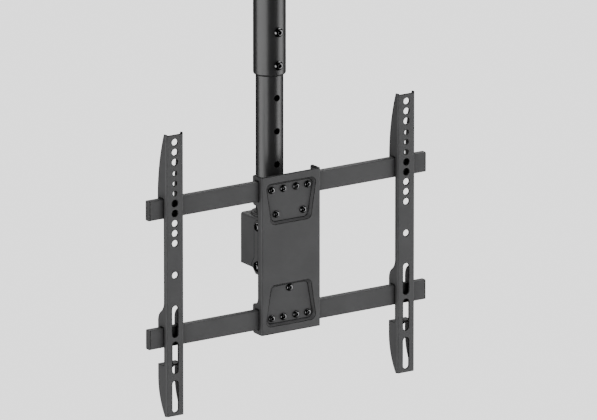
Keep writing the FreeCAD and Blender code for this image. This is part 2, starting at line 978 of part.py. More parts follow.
# Face plate: folded sheet with a window in each ear for a rail, and two pressed recesses

def recess_corners(wide_z, narrow_z, spread, corner):
    """Trapezoid with round corners; spread moves every side outwards."""
    turn = 1 if wide_z.value > narrow_z.value else -1
    wide = mm.recess_wide / 2 + spread
    narrow = mm.recess_narrow / 2 + spread
    top = wide_z + spread * turn
    bottom = narrow_z - spread * turn
    lean = (wide - narrow) / mm.recess_height
    step = corner * turn
    loop = [
        (narrow - corner, bottom),
        (narrow + lean * corner, bottom + step),
        (wide - lean * corner, top - step),
        (wide - corner, top),
        (-wide + corner, top),
        (-wide + lean * corner, top - step),
        (-narrow - lean * corner, bottom + step),
        (-narrow + corner, bottom),
    ]
    return loop, turn, corner


def recess_outline(sketch, wide_z, narrow_z, spread, corner):
    loop, turn, corner = recess_corners(wide_z, narrow_z, spread, corner)
    rounded = []
    for number, spot in enumerate(loop):
        bend = number % 2 == 1
        rounded.append((*spot, corner, turn) if bend else spot)
    outline(sketch, rounded)


def make_face_plate():
    body = new_body("face_plate")
    channel(
        body,
        mm.face_width / 2,
        face_y,
        mm.face_ear_depth,
        mm.face_sheet,
        mm.face_bend,
        face_bottom,
        face_top,
    )
    # Flanges: deep ears round each rail, a narrow flange between them
    ear = face_y + mm.face_ear_depth
    corner = mm.face_ear_corner
    flange = face_y + mm.face_flange
    gusset = mm.face_ear_depth - mm.face_flange - corner
    upper_ear_low = upper_rail_z - mm.rail_height / 2 - mm.ear_margin
    lower_ear_high = lower_rail_z + mm.rail_height / 2 + mm.ear_margin
    past = mm.face_sheet * 2
    trim = new_sketch(body, "YZ")
    outline(
        trim,
        [
            (ear - corner, face_top + past),
            (ear - corner, face_top),
            (ear, face_top - corner, corner, -1),
            (ear, upper_ear_low + corner),
            (ear - corner, upper_ear_low, corner, -1),
            (flange, upper_ear_low - gusset, gusset, 1),
            (flange, lower_ear_high + gusset),
            (ear - corner, lower_ear_high, gusset, 1),
            (ear, lower_ear_high - corner, corner, -1),
            (ear, face_bottom + corner),
            (ear - corner, face_bottom, corner, -1),
            (ear - corner, face_bottom - past),
            (ear + past, face_bottom - past),
            (ear + past, face_top + past),
        ],
    )
    pocket(body, trim, mm.face_width * 2, centred=True)
    windows = new_sketch(body, "YZ")
    gap = mm.rail_window_gap
    for rail_z in (upper_rail_z, lower_rail_z):
        rounded_box(
            windows,
            rail_front - gap,
            rail_z - mm.rail_height / 2 - gap,
            rail_back + gap,
            rail_z + mm.rail_height / 2 + gap,
            mm.rail_corner / 2,
        )
    pocket(body, windows, mm.face_width * 2, centred=True)
    recesses = (
        (face_top - mm.recess_margin, face_top - mm.recess_margin - mm.recess_height),
        (face_bottom + mm.recess_margin, face_bottom + mm.recess_margin + mm.recess_height),
    )
    inside = mm.recess_slope
    for wide_z, narrow_z in recesses:
        back = face_y + mm.face_sheet
        rim = new_sketch(body, "XZ", -back)
        recess_outline(rim, wide_z, narrow_z, length(0), mm.recess_corner)
        floor = new_sketch(body, "XZ", -rail_front)
        recess_outline(floor, wide_z, narrow_z, -inside, mm.recess_corner)
        loft(body, "Additive", rim, floor)
        mouth = new_sketch(body, "XZ", -face_y)
        recess_outline(mouth, wide_z, narrow_z, length(0), mm.recess_corner)
        pan = new_sketch(body, "XZ", -(face_y + mm.recess_depth))
        recess_outline(pan, wide_z, narrow_z, -inside, mm.recess_corner)
        loft(body, "Subtractive", mouth, pan)
    holes = new_sketch(body, "XZ", -rail_front)
    spots = bracket_screw_spots() + rail_screw_spots(upper_rail_z) + rail_screw_spots(lower_rail_z)
    for x, z in spots:
        hole(holes, x, z, mm.m6_shank)
    pocket(body, holes, mm.recess_depth, centred=True)
    node(body, "face_plate")


def make_face_screws():
    seat = face_y + mm.recess_depth
    rail_screw = button_screw(
        "rail_screw", mm.m6_shank, mm.m6_head, mm.m6_head_height, mm.rail_screw_reach, mm.m6_hex
    )
    for label, rail_z in (("upper", upper_rail_z), ("lower", lower_rail_z)):
        spots = [(x, seat, z, HEAD_FRONT) for x, z in rail_screw_spots(rail_z)]
        group(f"{label}_rail_screws", rail_screw, spots)
    bracket_screw = button_screw(
        "bracket_screw",
        mm.m6_shank,
        mm.m6_head,
        mm.m6_head_height,
        mm.face_sheet + mm.bracket_sheet + mm.thread_past_nut,
        mm.m6_hex,
    )
    spots = [(x, seat, z, HEAD_FRONT) for x, z in bracket_screw_spots()]
    group("bracket_screws", bracket_screw, spots)


# Rails: rectangular tube, with a plug in each end

def make_rail(label, rail_z):
    body = new_body(label)
    section = new_sketch(body, "YZ")
    half = mm.rail_height / 2
    rounded_box(section, rail_front, -half, rail_back, half, mm.rail_corner)
    wall = mm.rail_wall
    rounded_box(
        section,
        rail_front + wall,
        -half + wall,
        rail_back - wall,
        half - wall,
        mm.rail_corner / 2,
    )
    pad(body, section, rail_end * 2, centred=True)
    threads = new_sketch(body, "XZ", -rail_front)
    for x, z in rail_screw_spots(length(0)):
        hole(threads, x, z, mm.m6_shank)
    pocket(body, threads, wall * 2, centred=True)
    place(body, z=rail_z)
    node(body, label)


def make_rail_cap(name):
    """Plug with a thin head, drawn at the origin with its head to the right."""
    body = new_body(name)
    half_depth = mm.rail_depth / 2
    half_height = mm.rail_height / 2
    head = new_sketch(body, "YZ")
    rounded_box(head, -half_depth, -half_height, half_depth, half_height, mm.rail_corner)
    pad(body, head, mm.rail_cap_thickness)
    plug = new_sketch(body, "YZ")
    inset = mm.rail_wall + mm.rail_cap_fit
    rounded_box(
        plug,
        -half_depth + inset,
        -half_height + inset,
        half_depth - inset,
        half_height - inset,
        mm.rail_corner / 2,
    )
    pad(body, plug, mm.rail_cap_plug, backwards=True)
    return body


def make_rail_caps():
    cap = make_rail_cap("rail_cap")
    turned_round = FreeCAD.Rotation(FreeCAD.Vector(0, 0, 1), 180)
    for label, rail_z in (("upper", upper_rail_z), ("lower", lower_rail_z)):
        spots = [
            (rail_end, rail_middle, rail_z, HEAD_UP),
            (-rail_end, rail_middle, rail_z, turned_round),
        ]
        group(f"{label}_rail_caps", cap, spots)


# Arms: folded sheet that hooks over both rails, with holes and slots for the screen's bolts

def make_arm(label, arm_x):
    body = new_body(label)
    half_width = mm.arm_width / 2
    channel(
        body,
        half_width,
        arm_y,
        mm.arm_flange_deep,
        mm.arm_sheet,
        mm.arm_bend,
        arm_bottom,
        arm_top,
    )
    narrow = arm_y + mm.arm_flange_narrow
    deep = arm_y + mm.arm_flange_deep
    lip = rail_back + mm.hook_gap
    upper_top = upper_rail_z + mm.rail_height / 2
    lower_top = lower_rail_z + mm.rail_height / 2
    tab_z = lower_rail_z - mm.rail_height / 2 - mm.tab_below_rail
    brace_low = lower_top + mm.brace_above_lower_rail
    brace_high = brace_low + mm.brace_rise
    half_brace = (mm.arm_flange_deep - mm.arm_flange_narrow) / 2
    brace_radius = arc_radius(half_brace, mm.brace_rise / 2)
    head_sag = mm.arm_flange_deep - mm.arm_flange_top
    tail_sag = mm.arm_flange_deep - mm.arm_flange_bottom
    past = mm.arm_sheet * 2
    trim = new_sketch(body, "YZ")
    outline(
        trim,
        [
            (arm_y + mm.arm_flange_top, arm_top + past),
            (arm_y + mm.arm_flange_top, arm_top),
            (deep, upper_top, arc_radius(head_sag, arm_top - upper_top), -1),
            (deep, upper_top - mm.hook_lip),
            (lip, upper_top - mm.hook_lip),
            (lip, upper_top + mm.hook_seat_gap),
            (narrow, upper_top + mm.hook_seat_gap),
            (narrow, brace_high),
            (narrow + half_brace, brace_high - mm.brace_rise / 2, brace_radius, 1),
            (deep, brace_low, brace_radius, -1),
            (deep, lower_top - mm.hook_lip),
            (lip, lower_top - mm.hook_lip),
            (lip, lower_top + mm.hook_seat_gap),
            (narrow, lower_top + mm.hook_seat_gap),
            (narrow, tab_z),
            (deep, tab_z),
            (deep, arm_bottom + mm.tail_taper),
            (
                arm_y + mm.arm_flange_bottom,
                arm_bottom,
                arc_radius(tail_sag, mm.tail_taper),
                -1,
            ),
            (arm_y + mm.arm_flange_bottom, arm_bottom - past),
            (deep + past, arm_bottom - past),
            (deep + past, arm_top + past),
        ],
    )
    pocket(body, trim, mm.arm_width * 2, centred=True)
    # Cross tab, folded in from one flange, for the lock screw
    tab = new_sketch(body, "XY", tab_z)
    box(
        tab,
        -half_width + mm.arm_sheet / 2,
        narrow,
        half_width - mm.arm_sheet - mm.hook_gap,
        deep,
    )
    pad(body, tab, mm.arm_sheet, backwards=True)
    thread = new_sketch(body, "XY", tab_z)
    hole(thread, 0, rail_middle, mm.lock_screw_radius)
    pocket(body, thread, mm.arm_sheet * 2, centred=True)
    # The web ends a little below the flanges' tips, and its lower corners are round
    notch = new_sketch(body, "XZ", -arm_y)
    box(
        notch,
        -half_width + mm.arm_bend,
        arm_top - mm.arm_top_notch,
        half_width - mm.arm_bend,
        arm_top + past,
    )
    for side in (1, -1):
        edge = half_width * side
        inset = edge - mm.arm_corner * side
        outline(
            notch,
            [
                (inset, arm_bottom - past),
                (edge + past * side, arm_bottom - past),
                (edge + past * side, arm_bottom + mm.arm_corner),
                (edge, arm_bottom + mm.arm_corner),
                (inset, arm_bottom, mm.arm_corner, -side),
            ],
        )
    pocket(body, notch, mm.arm_sheet)
    bores = new_sketch(body, "XZ", -arm_y)
    for z in arm_holes():
        hole(bores, 0, z, mm.arm_hole_radius)
    for step in range(3):
        small_z = first_hole_z - mm.arm_small_hole_first - mm.arm_hole_pitch * step
        hole(bores, 0, small_z, mm.arm_small_hole_radius)
    bridges = (mm.slot_lower_bridge, mm.slot_upper_bridge, length(0))
    slot_room = first_hole_z - mm.slots_below_first_hole - arm_bottom - mm.slot_end_margin
    slot_length = (slot_room - mm.slot_upper_bridge - mm.slot_lower_bridge) / len(bridges)
    low = arm_bottom + mm.slot_end_margin
    for bridge in bridges:
        upright_slot(bores, length(0), low, low + slot_length, mm.arm_slot_radius)
        low = low + slot_length + bridge
    pocket(body, bores, mm.arm_sheet)
    place(body, x=arm_x)
    node(body, label)


def arm_holes():
    """Heights of the large holes: three at the top, five below the upper rail, one more."""
    top = [first_hole_z - mm.arm_hole_pitch * step for step in range(3)]
    middle_first = first_hole_z - mm.arm_middle_hole_first
    middle = [middle_first - mm.arm_hole_pitch * step for step in range(5)]
    return top + middle + [first_hole_z - mm.screen_pitch]


def make_lock_screws():
    """Safety screws that rise from the arms' cross tabs to just under the lower rail."""
    rail_low = lower_rail_z - mm.rail_height / 2
    seat = rail_low - mm.tab_below_rail - mm.arm_sheet
    reach = rail_low - mm.lock_screw_gap - seat
    screw = button_screw(
        "lock_screw", mm.lock_screw_radius, mm.m6_head, mm.m6_head_height, reach, mm.m6_hex
    )
    for label, side in (("left", -1), ("right", 1)):
        spot = (mm.arm_spacing / 2 * side, rail_middle, seat, HEAD_DOWN)
        group(f"{label}_lock_screw", screw, [spot])


make_ceiling_plate()
make_pole_socket()
make_socket_fasteners()
make_outer_pole()
make_height_screws()
make_pole_guides()
make_inner_pole()
make_swivel()
make_hub_bracket()
make_side_fasteners()
make_tilt_bracket()
make_face_plate()
make_face_screws()
make_rail("upper_rail", upper_rail_z)
make_rail("lower_rail", lower_rail_z)
make_rail_caps()
make_arm("left_arm", -mm.arm_spacing / 2)
make_arm("right_arm", mm.arm_spacing / 2)
make_lock_screws()
doc.recompute()

for thing in doc.Objects:
    if "Invalid" in thing.State or "Error" in thing.State:
        raise RuntimeError(f"{thing.Name} ({thing.Label}) did not build: {thing.State}")
for thing in NODES:
    shape = thing.Shape
    if shape.isNull() or not shape.isValid():
        raise RuntimeError(f"{thing.Label} has no valid shape")
    shape.exportStep(f"parts/{thing.Label}.step")
    print(f"{thing.Label}: {len(shape.Solids)} solids, {shape.Volume:.0f} cubic millimetres")
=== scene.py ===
# %% [markdown]
# A TV ceiling mount, from frame to finish
#
# The real mount is bent and welded steel under one dark powder coat, held together by black
# screws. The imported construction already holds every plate, tube and rail at its real size,
# so this lesson leaves those where they are and gives them a finish. It then models the small
# parts whose form is too fine for the construction: screws, nuts, washers, end caps and welds.

# %% Load the frame
import json
import math

import bmesh
import bpy
from mathutils import Matrix, Vector

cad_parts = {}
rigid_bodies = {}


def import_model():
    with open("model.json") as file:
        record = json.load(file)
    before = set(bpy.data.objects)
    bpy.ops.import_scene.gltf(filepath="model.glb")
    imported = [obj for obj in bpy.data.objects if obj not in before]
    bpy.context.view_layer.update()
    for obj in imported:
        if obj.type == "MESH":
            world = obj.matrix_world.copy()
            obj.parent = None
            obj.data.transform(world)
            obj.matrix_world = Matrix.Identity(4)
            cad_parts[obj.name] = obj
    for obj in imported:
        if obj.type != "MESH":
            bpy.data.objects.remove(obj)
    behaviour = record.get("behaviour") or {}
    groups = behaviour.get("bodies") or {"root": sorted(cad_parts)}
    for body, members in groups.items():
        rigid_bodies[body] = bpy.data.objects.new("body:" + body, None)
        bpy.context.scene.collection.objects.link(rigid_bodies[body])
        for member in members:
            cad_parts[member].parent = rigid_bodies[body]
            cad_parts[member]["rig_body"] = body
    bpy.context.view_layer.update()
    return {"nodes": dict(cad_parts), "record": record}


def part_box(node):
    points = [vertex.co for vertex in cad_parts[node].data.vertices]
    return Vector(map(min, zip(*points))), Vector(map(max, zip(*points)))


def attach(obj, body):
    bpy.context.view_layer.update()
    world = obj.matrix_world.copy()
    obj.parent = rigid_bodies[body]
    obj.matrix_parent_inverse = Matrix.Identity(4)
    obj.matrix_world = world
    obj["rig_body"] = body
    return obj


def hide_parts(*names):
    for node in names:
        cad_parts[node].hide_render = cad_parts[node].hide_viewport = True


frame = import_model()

MM = 0.001
print("nodes in the frame:", len(frame["nodes"]))

# %% [markdown]
# The camera
#
# The picture is nearly without perspective: the rails' far ends are as tall as their near ends.
# That is a very long lens from far away, so the camera stands twenty metres off, to the left of
# the mount and a little above it. Its place and lens were solved from the arms' bolt pattern.

# %% Camera
CAMERA_PLACE = (-10.641, -16.4622, 4.8971)
CAMERA_LOOK = Vector((0.52291, 0.80517, -0.27976))
CAMERA_LENS = 846.4
CAMERA_SENSOR = 36.0
CAMERA_REACH = 200

camera_turn = CAMERA_LOOK.to_track_quat("-Z", "Y").to_euler()
bpy.ops.object.camera_add(location=CAMERA_PLACE, rotation=camera_turn)
camera = bpy.context.object
camera.data.lens = CAMERA_LENS
camera.data.sensor_width = CAMERA_SENSOR
camera.data.clip_end = CAMERA_REACH
bpy.context.scene.camera = camera
print("camera stands", round(Vector(CAMERA_PLACE).length, 1), "m away")

# %% [markdown]
# Floor and room
#
# A product picture wants an even pale ground with no line where floor and wall meet. One wide
# plane well below the mount does it. A lit floor would fall off into grey, so what the camera
# sees of it is an even tone. Reflections meet dark felt instead, as on a studio's black cloth,
# or the coat would mirror a white floor. Every other ray meets plain grey paint that bounces
# soft light back up. The world behind has the same tones, so no horizon shows from any side.

# %% Floor and world
PAPER_TONE = (1.94, 1.94, 1.94, 1)
FLOOR_PAINT = (0.35, 0.35, 0.35, 1)
FLOOR_HEIGHT = -3.2
FLOOR_SIZE = 400
ROOM_LIGHT = (0.06, 0.06, 0.06, 1)
DARK_TONE = (0.012, 0.012, 0.012, 1)

bpy.ops.mesh.primitive_plane_add(size=FLOOR_SIZE, location=(0, 0, FLOOR_HEIGHT))
floor = bpy.context.object
floor.name = "floor"


def for_rays(tree, kind, special, other):
    """Mixes two shaders: the special one for one kind of ray, the other for all the rest."""
    path = tree.nodes.new("ShaderNodeLightPath")
    mix = tree.nodes.new("ShaderNodeMixShader")
    tree.links.new(path.outputs[kind], mix.inputs[0])
    tree.links.new(other, mix.inputs[1])
    tree.links.new(special, mix.inputs[2])
    return mix.outputs[0]


def flat_tone(tree, kind, colour):
    """Shader that sends out one even tone."""
    node = tree.nodes.new(kind)
    node.inputs["Color"].default_value = colour
    return node.outputs[0]


def even_ground(tree, tone_kind, lit_kind, lit_colour, out_kind):
    """Paper tone for the camera, dark felt in reflections, soft light for everything else."""
    tree.nodes.clear()
    seen = flat_tone(tree, tone_kind, PAPER_TONE)
    felt = flat_tone(tree, tone_kind, DARK_TONE)
    lit = flat_tone(tree, lit_kind, lit_colour)
    ground = for_rays(tree, "Is Glossy Ray", felt, lit)
    ground = for_rays(tree, "Is Camera Ray", seen, ground)
    out = tree.nodes.new(out_kind)
    tree.links.new(ground, out.inputs["Surface"])


paper = bpy.data.materials.new("paper_floor")
paper.use_nodes = True
even_ground(
    paper.node_tree,
    tone_kind="ShaderNodeEmission",
    lit_kind="ShaderNodeBsdfDiffuse",
    lit_colour=FLOOR_PAINT,
    out_kind="ShaderNodeOutputMaterial",
)
floor.data.materials.append(paper)

room = bpy.data.worlds.new("room")
bpy.context.scene.world = room
room.use_nodes = True
even_ground(
    room.node_tree,
    tone_kind="ShaderNodeBackground",
    lit_kind="ShaderNodeBackground",
    lit_colour=ROOM_LIGHT,
    out_kind="ShaderNodeOutputWorld",
)
print("floor at", FLOOR_HEIGHT, "m")

# %% [markdown]
# Studio light
#
# The round pole tells where the lamps stand: it is bright to the left of its middle, nearly
# black just right of it and bright again at its right edge. So a large soft lamp stands at each
# side, and nothing bright beside the camera, whose reflection is the dark band. The plates turn
# their flat faces to the front all the same and need light from there: the fill lamp gives it
# and is kept out of all reflections. A lamp at the upper right and one behind keep the upper
# faces and the back readable.

# %% Lamps
AIM = Vector((0, 0, -0.7))
LAMPS = (
    # name, degrees round the pole from the front, distance, height, width, height of the lamp
    # itself, watts, seen in gloss; all lengths in metres
    ("left_lamp", -88, 4.2, -1.5, 7.0, 3.2, 262, True),
    ("right_lamp", 54, 4.2, -1.5, 3.2, 3.2, 118, True),
    ("back_lamp", 165, 3.2, 2.6, 2.0, 2.0, 120, True),
    ("top_lamp", 100, 1.6, 2.0, 2.4, 2.4, 90, True),
    ("fill_lamp", 4, 6.0, 1.6, 3.0, 3.0, 238, False),
)

for name, azimuth, distance, height, width, tall, watts, glossy in LAMPS:
    turn = math.radians(azimuth)
    place = Vector((distance * math.sin(turn), -distance * math.cos(turn), height))
    aim = (AIM - place).to_track_quat("-Z", "Y").to_euler()
    bpy.ops.object.light_add(type="AREA", location=place, rotation=aim)
    lamp = bpy.context.object
    lamp.name = name
    lamp.data.shape = "RECTANGLE"
    lamp.data.size = width
    lamp.data.size_y = tall
    lamp.data.energy = watts
    lamp.visible_camera = False
    lamp.visible_glossy = glossy
print("lamps:", [lamp[0] for lamp in LAMPS])

# %% [markdown]
# Shared effects
#
# Three things show on every part: the fine skin of the coat, painted shade in a dark line where
# two faces meet and painted shade in corners. Each is a node group, built once and used by every
# finish. The helpers below add one node each, so that the groups read as short recipes.

# %% Node helpers


def new_group(name, inputs, outputs):
    """Node group with value inputs as (name, default) and outputs as (name, socket type)."""
    group = bpy.data.node_groups.new(name, "ShaderNodeTree")
    for label, default in inputs:
        socket = group.interface.new_socket(label, in_out="INPUT", socket_type="NodeSocketFloat")
        socket.default_value = default
    for label, kind in outputs:
        group.interface.new_socket(label, in_out="OUTPUT", socket_type=kind)
    return group, group.nodes.new("NodeGroupInput"), group.nodes.new("NodeGroupOutput")


def math_node(tree, kind, first, second):
    """Math node whose second input is a number or another socket."""
    node = tree.nodes.new("ShaderNodeMath")
    node.operation = kind
    tree.links.new(first, node.inputs[0])
    if isinstance(second, (int, float)):
        node.inputs[1].default_value = second
    else:
        tree.links.new(second, node.inputs[1])
    return node.outputs[0]


def map_range(tree, value, low, high):
    """Stretches low to high over 0 to 1 and clamps the rest."""
    node = tree.nodes.new("ShaderNodeMapRange")
    node.interpolation_type = "SMOOTHSTEP"
    node.inputs["From Min"].default_value = low
    node.inputs["From Max"].default_value = high
    tree.links.new(value, node.inputs["Value"])
    return node.outputs["Result"]


def noise(tree, scale, detail):
    """Noise on the object's own coordinates; the scale's socket gives bumps a metre."""
    node = tree.nodes.new("ShaderNodeTexNoise")
    place = tree.nodes.new("ShaderNodeTexCoord")
    tree.links.new(place.outputs["Object"], node.inputs["Vector"])
    tree.links.new(scale, node.inputs["Scale"])
    node.inputs["Detail"].default_value = detail
    return node.outputs["Fac"]


print("node helpers ready")

# %% [markdown]
# Skin of the coat
#
# Sprayed powder melts into one film but keeps a fine pebble, and its tone drifts over a hand's
# breadth. Two noises do this: a fine one whose height feeds the bump and the roughness, and a
# slow one that moves the colour between two tones. Both lie on the object's own coordinates,
# so the skin stays on a part when the part moves.

# %% Coat grain
GRAIN_DETAIL = 2.5
CLOUD_DETAIL = 3
CLOUD_BAND = (0.3, 0.7)

grain, grain_in, grain_out = new_group(
    "coat_grain",
    [("Grains a metre", 1400), ("Clouds a metre", 26)],
    [("Height", "NodeSocketFloat"), ("Tone", "NodeSocketFloat")],
)
fine = noise(grain, grain_in.outputs["Grains a metre"], GRAIN_DETAIL)
cloud = noise(grain, grain_in.outputs["Clouds a metre"], CLOUD_DETAIL)
grain.links.new(fine, grain_out.inputs["Height"])
grain.links.new(map_range(grain, cloud, *CLOUD_BAND), grain_out.inputs["Tone"])
print("group:", grain.name)

# %% [markdown]
# Painted shade along the edges
#
# Every fold and cut of the plates gets a thin dark line of painted shade. A modelled line would be
# far too fine, so it is found in the shader: a bevelled normal turns away from the true one near
# an edge, and how far it turns is the mask.

# %% Edge line of painted shade
SHADER_SAMPLES = 8
# One minus the cosine of the turn: the line begins at the first and is full at the second
EDGE_TURN = (0.003, 0.035)

# Painted shade: this mask darkens the colour in a thin line along every edge and fold.
edge, edge_in, edge_out = new_group(
    "painted_edge_shade", [("Width", 1.1 * MM)], [("Mask", "NodeSocketFloat")]
)
rounded = edge.nodes.new("ShaderNodeBevel")
rounded.samples = SHADER_SAMPLES
edge.links.new(edge_in.outputs["Width"], rounded.inputs["Radius"])
true_normal = edge.nodes.new("ShaderNodeNewGeometry")
dot = edge.nodes.new("ShaderNodeVectorMath")
dot.operation = "DOT_PRODUCT"
edge.links.new(rounded.outputs["Normal"], dot.inputs[0])
edge.links.new(true_normal.outputs["Normal"], dot.inputs[1])
short_of_one = math_node(edge, "SUBTRACT", dot.outputs["Value"], 1.0)
edge_turn = math_node(edge, "ABSOLUTE", short_of_one, 0.0)
edge.links.new(map_range(edge, edge_turn, *EDGE_TURN), edge_out.inputs["Mask"])
print("group:", edge.name)

# %% [markdown]
# Shade in the corners
#
# Soft studio light hardly reaches into corners, such as where an arm lies on a rail. Ambient
# occlusion measures how closed in a point is within a given reach, and the mask goes from 0 in
# a corner to 1 in the open.

# %% Corner shade
# Openness at which the shade is full, and at which it has gone
OPENNESS = (0.25, 0.95)

corner, corner_in, corner_out = new_group(
    "corner_shade", [("Reach", 14 * MM)], [("Mask", "NodeSocketFloat")]
)
closed = corner.nodes.new("ShaderNodeAmbientOcclusion")
closed.samples = SHADER_SAMPLES
corner.links.new(corner_in.outputs["Reach"], closed.inputs["Distance"])
corner.links.new(map_range(corner, closed.outputs["AO"], *OPENNESS), corner_out.inputs["Mask"])
print("group:", corner.name)

# %% [markdown]
# Powder coat
#
# Powder coat is baked plastic over steel: almost black graphite, satin, with a fine even
# pebble that breaks up reflections. A flat grey would look like paper. Its colour therefore
# drifts a little, painted shade darkens it along edges and in corners, and its bump carries the
# pebble. The other finishes differ only in their values, so one builder makes them all.

# %% Finish builder
ROUGHNESS_DRIFT = 0.04
BUMP_STRENGTH = 0.6
BLUE_TRACE = 1.02


def mixed(tree, share, first, second):
    """Colour that runs from the first to the second with the share; each a colour or a socket."""
    node = tree.nodes.new("ShaderNodeMix")
    node.data_type = "RGBA"
    tree.links.new(share, node.inputs["Factor"])
    for name, tint in (("A", first), ("B", second)):
        socket = [item for item in node.inputs if item.name == name and item.type == "RGBA"][0]
        if isinstance(tint, tuple):
            socket.default_value = tint
        else:
            tree.links.new(tint, socket)
    return [item for item in node.outputs if item.type == "RGBA"][0]


def grey(level):
    """Grey with a trace of blue."""
    return (level, level, level * BLUE_TRACE, 1)


def placed(tree, group, **values):
    """Puts a group in a material, with its own values."""
    node = tree.nodes.new("ShaderNodeGroup")
    node.node_tree = group
    for name, value in values.items():
        node.inputs[name.replace("_", " ")].default_value = value
    return node


def new_finish(
    name,
    dark,
    light,
    roughness,
    grains,
    bump,
    edge_width,
    # Colour that the painted shade along edges and in corners runs to
    painted_shade_tone,
    reach,
    metallic=0.0,
    gloss=0.5,
):
    """Material that drifts from dark to light, with painted shade at its edges and in its corners.

    The painted edge shade is made fully rough, because gloss would hide it under a reflection.
    """
    finish = bpy.data.materials.new(name)
    finish.use_nodes = True
    tree = finish.node_tree
    shader = tree.nodes["Principled BSDF"]
    skin = placed(tree, grain, Grains_a_metre=grains)
    line = placed(tree, edge, Width=edge_width)
    shade = placed(tree, corner, Reach=reach)
    colour = mixed(tree, skin.outputs["Tone"], grey(dark), grey(light))
    # Painted shade: the edge mask darkens the colour along edges and folds.
    colour = mixed(tree, line.outputs["Mask"], colour, grey(painted_shade_tone))
    # Painted shade: the corner mask darkens the colour in corners.
    colour = mixed(tree, shade.outputs["Mask"], grey(painted_shade_tone), colour)
    tree.links.new(colour, shader.inputs["Base Color"])
    rough = tree.nodes.new("ShaderNodeMapRange")
    rough.inputs["To Min"].default_value = roughness - ROUGHNESS_DRIFT
    rough.inputs["To Max"].default_value = roughness + ROUGHNESS_DRIFT
    tree.links.new(skin.outputs["Height"], rough.inputs["Value"])
    dull = math_node(tree, "MAXIMUM", rough.outputs["Result"], line.outputs["Mask"])
    tree.links.new(dull, shader.inputs["Roughness"])
    relief = tree.nodes.new("ShaderNodeBump")
    relief.inputs["Distance"].default_value = bump
    relief.inputs["Strength"].default_value = BUMP_STRENGTH
    tree.links.new(skin.outputs["Height"], relief.inputs["Height"])
    tree.links.new(relief.outputs["Normal"], shader.inputs["Normal"])
    shader.inputs["Metallic"].default_value = metallic
    shader.inputs["Specular IOR Level"].default_value = gloss
    return finish


print("finish builder ready")

# %% [markdown]
# Finishes
#
# The folded plates, arms and rails carry a matter coat that shows hardly any gloss. The rails
# share it, but their painted shade reaches further and stands in for the shadows of the arms and
# the face plate, which stand out far over them. The drawn tubes are smoother under their coat and
# mirror the lamps as long bright stripes; their colour is painted darker, as painted shade that
# keeps the fill lamp from lifting the pole's dark band. Screws are black oxide: bare steel turned
# dark, so they stay metal and glint. Caps and glides are moulded plastic with no metal and little
# gloss.

# %% Finishes
PLATE_COAT = {
    "dark": 0.058,
    "light": 0.065,
    "roughness": 0.50,
    "grains": 1400,
    "bump": 0.04 * MM,
    "edge_width": 1.8 * MM,
    # Colour of the painted shade along edges and in corners
    "painted_shade_tone": 0.001,
    "gloss": 0.2,
}
powder_coat = new_finish("powder_coat", reach=3.5 * MM, **PLATE_COAT)
# Painted shade: the rails' corner shade reaches 35 mm and stands in for the shadows of the arms.
rail_coat_painted_shade = new_finish("rail_coat_painted_shade", reach=35 * MM, **PLATE_COAT)
tube_coat_and_shade = new_finish(
    "tube_coat_and_shade",
    # Painted shade: the tubes' colour is darker than the plates' so the fill lamp does not lift the
    # pole's dark band.
    dark=0.015,
    light=0.019,
    roughness=0.36,
    grains=1800,
    bump=0.03 * MM,
    edge_width=1.4 * MM,
    # Colour of the painted shade along edges and in corners
    painted_shade_tone=0.002,
    reach=3.5 * MM,
    gloss=0.62,
)
black_oxide = new_finish(
    "black_oxide",
    dark=0.10,
    light=0.13,
    roughness=0.15,
    grains=900,
    bump=0.01 * MM,
    edge_width=1.1 * MM,
    # Colour of the painted shade along edges and in corners
    painted_shade_tone=0.001,
    reach=1.5 * MM,
    metallic=1.0,
)
black_plastic = new_finish(
    "black_plastic",
    dark=0.030,
    light=0.040,
    roughness=0.52,
    grains=2200,
    bump=0.08 * MM,
    edge_width=0.7 * MM,
    # Colour of the painted shade along edges and in corners
    painted_shade_tone=0.006,
    reach=10 * MM,
)
FINISHES = {
    "powder_coat": powder_coat,
    "black_screw": black_oxide,
    "black_plastic": black_plastic,
}
OWN_FINISHES = {
    "outer_pole": tube_coat_and_shade,
    "inner_pole": tube_coat_and_shade,
    "pole_socket": tube_coat_and_shade,
    "upper_rail": rail_coat_painted_shade,
    "lower_rail": rail_coat_painted_shade,
}
slot_of = {row["node"]: row["material_slot"] for row in frame["record"]["subparts"]}
for name, node in frame["nodes"].items():
    node.data.materials.clear()
    node.data.materials.append(OWN_FINISHES.get(name, FINISHES[slot_of[name]]))
print("finishes:", [material.name for material in bpy.data.materials])

# %% [markdown]
# Working by hand, in code
#
# Everything below is modelled as at the bench: add a primitive at its size, go into edit mode,
# pick faces or edges by where they are, and push them. These few helpers do the picking, the
# cutting of one solid by another and the joining of finished pieces.

# %% Modelling helpers
SAME_PLACE = 1e-6
SMOOTH_UP_TO = 35


def only(thing):
    """Makes one object the selected and active one."""
    bpy.ops.object.select_all(action="DESELECT")
    thing.select_set(True)
    bpy.context.view_layer.objects.active = thing


def pick(thing, kind, test):
    """Goes into edit mode with the faces or edges selected for which the test holds."""
    only(thing)
    bpy.ops.object.mode_set(mode="EDIT")
    bpy.ops.mesh.select_mode(type=kind)
    bpy.ops.mesh.select_all(action="DESELECT")
    mesh = bmesh.from_edit_mesh(thing.data)
    parts = {"FACE": mesh.faces, "EDGE": mesh.edges, "VERT": mesh.verts}[kind]
    for part in parts:
        part.select_set(bool(test(part)))
    bmesh.update_edit_mesh(thing.data)


def done(thing, angle=SMOOTH_UP_TO):
    """Leaves edit mode and shades smooth up to an angle."""
    if bpy.context.mode != "OBJECT":
        bpy.ops.object.mode_set(mode="OBJECT")
    only(thing)
    bpy.ops.object.shade_smooth_by_angle(angle=math.radians(angle))
    return thing


def at_height(z):
    """Test for edges that lie at one height."""
    return lambda part: all(abs(vertex.co.z - z) < SAME_PLACE for vertex in part.verts)


